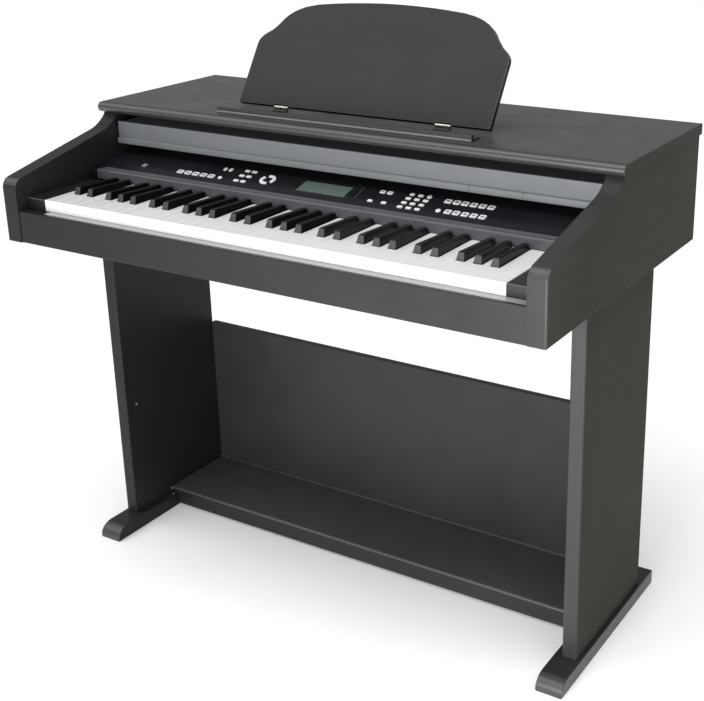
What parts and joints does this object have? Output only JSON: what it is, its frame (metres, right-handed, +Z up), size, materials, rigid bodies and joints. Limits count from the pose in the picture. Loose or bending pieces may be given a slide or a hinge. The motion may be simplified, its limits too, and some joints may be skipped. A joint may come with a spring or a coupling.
{
  "type": "home digital piano",
  "caption": "Home digital piano in a board cabinet: hinged keys, sloping button panel with display, sliding key cover, folding music rest, and a two-legged stand with a foot shelf.",
  "frame": {"origin": "on the floor, under the middle of the outline", "axes": "+X along the keyboard towards the high keys, +Y from the player to the back, +Z up"},
  "size_m": [0.993, 0.548, 0.9803],
  "materials": {
    "charcoal_board": "satin charcoal lacquer",
    "back_board": "plain matt dark hardboard",
    "cover_board": "satin charcoal lacquer",
    "silver_board": "satin silver grey lacquer",
    "black_key_plastic": "semi gloss black",
    "white_key_plastic": "gloss white",
    "button_plastic": "satin pale grey",
    "hinge_brass": "polished brass",
    "cheek_plastic": "gloss black",
    "panel_plastic": "gloss black, dark grey front lip",
    "display_plastic": "grey green liquid crystal window",
    "circuit_board": "green solder mask",
    "frame_plastic": "moulded black",
    "speaker_body": "black cone and frame",
    "inlet_plastic": "moulded black"
  },
  "bodies": {
    "cabinet": {"back_panel": "back_board", "bottom_board": "charcoal_board", "cheek_block_left": "cheek_plastic", "cheek_block_right": "cheek_plastic", "display_module": "display_plastic", "foot_left": "charcoal_board", "foot_right": "charcoal_board", "front_rail": "charcoal_board", "key_frame": "frame_plastic", "leg_left": "charcoal_board", "leg_right": "charcoal_board", "modesty_panel": "charcoal_board", "music_ledge": "charcoal_board", "panel_casing": "panel_plastic", "panel_circuit_board": "circuit_board", "power_inlet": "inlet_plastic", "rest_hinge_left": "hinge_brass", "rest_hinge_right": "hinge_brass", "shelf_board": "charcoal_board", "side_panel_left": "charcoal_board", "side_panel_right": "charcoal_board", "speaker_left": "speaker_body", "speaker_right": "speaker_body", "top_board": "charcoal_board"},
    "music_rest": {"music_rest": "charcoal_board"},
    "cover_carriage": {"cover_carriage": "cover_board"},
    "key_cover": {"key_cover": "cover_board", "cover_front_board": "silver_board"},
    "button_bank_display": {"button_bank_display": "button_plastic"},
    "button_bank_left": {"button_bank_left": "button_plastic"},
    "button_bank_lower": {"button_bank_lower": "button_plastic"},
    "button_bank_pairs": {"button_bank_pairs": "button_plastic"},
    "button_bank_upper": {"button_bank_upper": "button_plastic"},
    "button_keypad": {"button_keypad": "button_plastic"},
    "button_power": {"button_power": "button_plastic"},
    "button_ring": {"button_ring": "button_plastic"},
    "key_a4": {"key_a4": "white_key_plastic"},
    "key_as4": {"key_as4": "black_key_plastic"},
    "key_b4": {"key_b4": "white_key_plastic"},
    "key_c4": {"key_c4": "white_key_plastic"},
    "key_cs4": {"key_cs4": "black_key_plastic"},
    "key_d4": {"key_d4": "white_key_plastic"},
    "key_ds4": {"key_ds4": "black_key_plastic"},
    "key_e4": {"key_e4": "white_key_plastic"},
    "key_f4": {"key_f4": "white_key_plastic"},
    "key_fs4": {"key_fs4": "black_key_plastic"},
    "key_g4": {"key_g4": "white_key_plastic"},
    "key_gs4": {"key_gs4": "black_key_plastic"},
    "keys_cegb2": {"keys_cegb2": "white_key_plastic"},
    "keys_cegb3": {"keys_cegb3": "white_key_plastic"},
    "keys_cegb5": {"keys_cegb5": "white_key_plastic"},
    "keys_cegb6": {"keys_cegb6": "white_key_plastic"},
    "keys_dfa2": {"keys_dfa2": "white_key_plastic"},
    "keys_dfa3": {"keys_dfa3": "white_key_plastic"},
    "keys_dfa5": {"keys_dfa5": "white_key_plastic"},
    "keys_dfa6": {"keys_dfa6": "white_key_plastic"},
    "keys_sharp2": {"keys_sharp2": "black_key_plastic"},
    "keys_sharp3": {"keys_sharp3": "black_key_plastic"},
    "keys_sharp5": {"keys_sharp5": "black_key_plastic"},
    "keys_sharp6": {"keys_sharp6": "black_key_plastic"}
  },
  "joints": [
    {"name": "music_rest_fold", "type": "hinge", "parent": "cabinet", "child": "music_rest", "pos_m": [0, 0.0445, 0.8125], "axis": [-1, 0, 0], "range_deg": [0, 56]},
    {"name": "cover_slide", "type": "slide", "parent": "cabinet", "child": "cover_carriage", "axis": [0, -1, 0], "range_m": [0, 0.2383]},
    {"name": "cover_tilt", "type": "hinge", "parent": "cover_carriage", "child": "key_cover", "pos_m": [0, 0.2072, 0.7695], "axis": [1, 0, 0], "range_deg": [0, 11.6]},
    {"name": "button_bank_display_press", "type": "slide", "parent": "cabinet", "child": "button_bank_display", "axis": [0, 0.2588, -0.9659], "range_m": [0, 0.0012], "stiffness_N_per_m": 400, "springref_m": -0.002},
    {"name": "button_bank_left_press", "type": "slide", "parent": "cabinet", "child": "button_bank_left", "axis": [0, 0.2588, -0.9659], "range_m": [0, 0.0012], "stiffness_N_per_m": 400, "springref_m": -0.002},
    {"name": "button_bank_lower_press", "type": "slide", "parent": "cabinet", "child": "button_bank_lower", "axis": [0, 0.2588, -0.9659], "range_m": [0, 0.0012], "stiffness_N_per_m": 400, "springref_m": -0.002},
    {"name": "button_bank_pairs_press", "type": "slide", "parent": "cabinet", "child": "button_bank_pairs", "axis": [0, 0.2588, -0.9659], "range_m": [0, 0.0012], "stiffness_N_per_m": 400, "springref_m": -0.002},
    {"name": "button_bank_upper_press", "type": "slide", "parent": "cabinet", "child": "button_bank_upper", "axis": [0, 0.2588, -0.9659], "range_m": [0, 0.0012], "stiffness_N_per_m": 400, "springref_m": -0.002},
    {"name": "button_keypad_press", "type": "slide", "parent": "cabinet", "child": "button_keypad", "axis": [0, 0.2588, -0.9659], "range_m": [0, 0.0012], "stiffness_N_per_m": 400, "springref_m": -0.002},
    {"name": "button_power_press", "type": "slide", "parent": "cabinet", "child": "button_power", "axis": [0, 0.2588, -0.9659], "range_m": [0, 0.0012], "stiffness_N_per_m": 400, "springref_m": -0.002},
    {"name": "button_ring_press", "type": "slide", "parent": "cabinet", "child": "button_ring", "axis": [0, 0.2588, -0.9659], "range_m": [0, 0.0012], "stiffness_N_per_m": 400, "springref_m": -0.002},
    {"name": "key_a4_press", "type": "hinge", "parent": "cabinet", "child": "key_a4", "pos_m": [0, -0.012, 0.676], "axis": [1, 0, 0], "range_deg": [0, 2.4], "stiffness_Nm_per_rad": 2, "springref_deg": -6.88},
    {"name": "key_as4_press", "type": "hinge", "parent": "cabinet", "child": "key_as4", "pos_m": [0, -0.012, 0.676], "axis": [1, 0, 0], "range_deg": [0, 2.4], "stiffness_Nm_per_rad": 1.2, "springref_deg": -6.88},
    {"name": "key_b4_press", "type": "hinge", "parent": "cabinet", "child": "key_b4", "pos_m": [0, -0.012, 0.676], "axis": [1, 0, 0], "range_deg": [0, 2.4], "stiffness_Nm_per_rad": 2, "springref_deg": -6.88},
    {"name": "key_c4_press", "type": "hinge", "parent": "cabinet", "child": "key_c4", "pos_m": [0, -0.012, 0.676], "axis": [1, 0, 0], "range_deg": [0, 2.4], "stiffness_Nm_per_rad": 2, "springref_deg": -6.88},
    {"name": "key_cs4_press", "type": "hinge", "parent": "cabinet", "child": "key_cs4", "pos_m": [0, -0.012, 0.676], "axis": [1, 0, 0], "range_deg": [0, 2.4], "stiffness_Nm_per_rad": 1.2, "springref_deg": -6.88},
    {"name": "key_d4_press", "type": "hinge", "parent": "cabinet", "child": "key_d4", "pos_m": [0, -0.012, 0.676], "axis": [1, 0, 0], "range_deg": [0, 2.4], "stiffness_Nm_per_rad": 2, "springref_deg": -6.88},
    {"name": "key_ds4_press", "type": "hinge", "parent": "cabinet", "child": "key_ds4", "pos_m": [0, -0.012, 0.676], "axis": [1, 0, 0], "range_deg": [0, 2.4], "stiffness_Nm_per_rad": 1.2, "springref_deg": -6.88},
    {"name": "key_e4_press", "type": "hinge", "parent": "cabinet", "child": "key_e4", "pos_m": [0, -0.012, 0.676], "axis": [1, 0, 0], "range_deg": [0, 2.4], "stiffness_Nm_per_rad": 2, "springref_deg": -6.88},
    {"name": "key_f4_press", "type": "hinge", "parent": "cabinet", "child": "key_f4", "pos_m": [0, -0.012, 0.676], "axis": [1, 0, 0], "range_deg": [0, 2.4], "stiffness_Nm_per_rad": 2, "springref_deg": -6.88},
    {"name": "key_fs4_press", "type": "hinge", "parent": "cabinet", "child": "key_fs4", "pos_m": [0, -0.012, 0.676], "axis": [1, 0, 0], "range_deg": [0, 2.4], "stiffness_Nm_per_rad": 1.2, "springref_deg": -6.88},
    {"name": "key_g4_press", "type": "hinge", "parent": "cabinet", "child": "key_g4", "pos_m": [0, -0.012, 0.676], "axis": [1, 0, 0], "range_deg": [0, 2.4], "stiffness_Nm_per_rad": 2, "springref_deg": -6.88},
    {"name": "key_gs4_press", "type": "hinge", "parent": "cabinet", "child": "key_gs4", "pos_m": [0, -0.012, 0.676], "axis": [1, 0, 0], "range_deg": [0, 2.4], "stiffness_Nm_per_rad": 1.2, "springref_deg": -6.88},
    {"name": "keys_cegb2_press", "type": "hinge", "parent": "cabinet", "child": "keys_cegb2", "pos_m": [0, -0.012, 0.676], "axis": [1, 0, 0], "range_deg": [0, 2.4], "stiffness_Nm_per_rad": 8, "springref_deg": -6.88},
    {"name": "keys_cegb3_press", "type": "hinge", "parent": "cabinet", "child": "keys_cegb3", "pos_m": [0, -0.012, 0.676], "axis": [1, 0, 0], "range_deg": [0, 2.4], "stiffness_Nm_per_rad": 8, "springref_deg": -6.88},
    {"name": "keys_cegb5_press", "type": "hinge", "parent": "cabinet", "child": "keys_cegb5", "pos_m": [0, -0.012, 0.676], "axis": [1, 0, 0], "range_deg": [0, 2.4], "stiffness_Nm_per_rad": 8, "springref_deg": -6.88},
    {"name": "keys_cegb6_press", "type": "hinge", "parent": "cabinet", "child": "keys_cegb6", "pos_m": [0, -0.012, 0.676], "axis": [1, 0, 0], "range_deg": [0, 2.4], "stiffness_Nm_per_rad": 10, "springref_deg": -6.88},
    {"name": "keys_dfa2_press", "type": "hinge", "parent": "cabinet", "child": "keys_dfa2", "pos_m": [0, -0.012, 0.676], "axis": [1, 0, 0], "range_deg": [0, 2.4], "stiffness_Nm_per_rad": 6, "springref_deg": -6.88},
    {"name": "keys_dfa3_press", "type": "hinge", "parent": "cabinet", "child": "keys_dfa3", "pos_m": [0, -0.012, 0.676], "axis": [1, 0, 0], "range_deg": [0, 2.4], "stiffness_Nm_per_rad": 6, "springref_deg": -6.88},
    {"name": "keys_dfa5_press", "type": "hinge", "parent": "cabinet", "child": "keys_dfa5", "pos_m": [0, -0.012, 0.676], "axis": [1, 0, 0], "range_deg": [0, 2.4], "stiffness_Nm_per_rad": 6, "springref_deg": -6.88},
    {"name": "keys_dfa6_press", "type": "hinge", "parent": "cabinet", "child": "keys_dfa6", "pos_m": [0, -0.012, 0.676], "axis": [1, 0, 0], "range_deg": [0, 2.4], "stiffness_Nm_per_rad": 6, "springref_deg": -6.88},
    {"name": "keys_sharp2_press", "type": "hinge", "parent": "cabinet", "child": "keys_sharp2", "pos_m": [0, -0.012, 0.676], "axis": [1, 0, 0], "range_deg": [0, 2.4], "stiffness_Nm_per_rad": 6, "springref_deg": -6.88},
    {"name": "keys_sharp3_press", "type": "hinge", "parent": "cabinet", "child": "keys_sharp3", "pos_m": [0, -0.012, 0.676], "axis": [1, 0, 0], "range_deg": [0, 2.4], "stiffness_Nm_per_rad": 6, "springref_deg": -6.88},
    {"name": "keys_sharp5_press", "type": "hinge", "parent": "cabinet", "child": "keys_sharp5", "pos_m": [0, -0.012, 0.676], "axis": [1, 0, 0], "range_deg": [0, 2.4], "stiffness_Nm_per_rad": 6, "springref_deg": -6.88},
    {"name": "keys_sharp6_press", "type": "hinge", "parent": "cabinet", "child": "keys_sharp6", "pos_m": [0, -0.012, 0.676], "axis": [1, 0, 0], "range_deg": [0, 2.4], "stiffness_Nm_per_rad": 6, "springref_deg": -6.88}
  ],
  "couplings": [
    {"joint": "cover_tilt", "follows": "cover_slide", "rad_per_m": 0.842}
  ]
}
